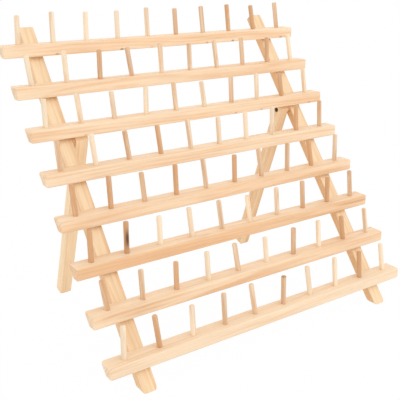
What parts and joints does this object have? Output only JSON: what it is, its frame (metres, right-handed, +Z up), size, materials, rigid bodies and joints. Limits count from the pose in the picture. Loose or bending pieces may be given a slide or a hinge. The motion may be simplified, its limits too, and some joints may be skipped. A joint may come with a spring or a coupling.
{
  "type": "thread spool rack",
  "caption": "Folding wooden rack of level rails with leaning pegs for thread spools, fixed across leaning front legs and propped by hinged rear legs.",
  "frame": {"origin": "middle of the footprint on the floor", "axes": "+X along the rails, +Y towards the rear legs, +Z up"},
  "size_m": [0.43, 0.2838, 0.3676],
  "materials": {
    "leg_wood": "planed, unvarnished",
    "rail_wood": "planed, unvarnished",
    "peg_wood": "turned, unvarnished",
    "spacer_wood": "turned, unvarnished",
    "dark_steel": "browned",
    "zinc_screw": "yellow zinc"
  },
  "bodies": {
    "front_frame": {"left_front_leg": "leg_wood", "right_front_leg": "leg_wood", "rail_1": "rail_wood", "rail_2": "rail_wood", "rail_3": "rail_wood", "rail_4": "rail_wood", "rail_5": "rail_wood", "rail_6": "rail_wood", "rail_7": "rail_wood", "rail_8": "rail_wood", "row_1_pegs": "peg_wood", "row_2_pegs": "peg_wood", "row_3_pegs": "peg_wood", "row_4_pegs": "peg_wood", "row_5_pegs": "peg_wood", "row_6_pegs": "peg_wood", "row_7_pegs": "peg_wood", "row_8_pegs": "peg_wood", "left_rail_screws": "zinc_screw", "right_rail_screws": "zinc_screw", "left_pivot_screw": "dark_steel", "right_pivot_screw": "dark_steel", "left_spacer": "spacer_wood", "right_spacer": "spacer_wood"},
    "left_rear_leg": {"left_rear_leg": "leg_wood"},
    "right_rear_leg": {"right_rear_leg": "leg_wood"}
  },
  "joints": [
    {"name": "left_rear_leg_hinge", "type": "hinge", "parent": "front_frame", "child": "left_rear_leg", "pos_m": [-0.1525, 0.04468, 0.22819], "axis": [-1, 0, 0], "range_deg": [0, 52]},
    {"name": "right_rear_leg_hinge", "type": "hinge", "parent": "front_frame", "child": "right_rear_leg", "pos_m": [0.1525, 0.04468, 0.22819], "axis": [-1, 0, 0], "range_deg": [0, 52]}
  ]
}
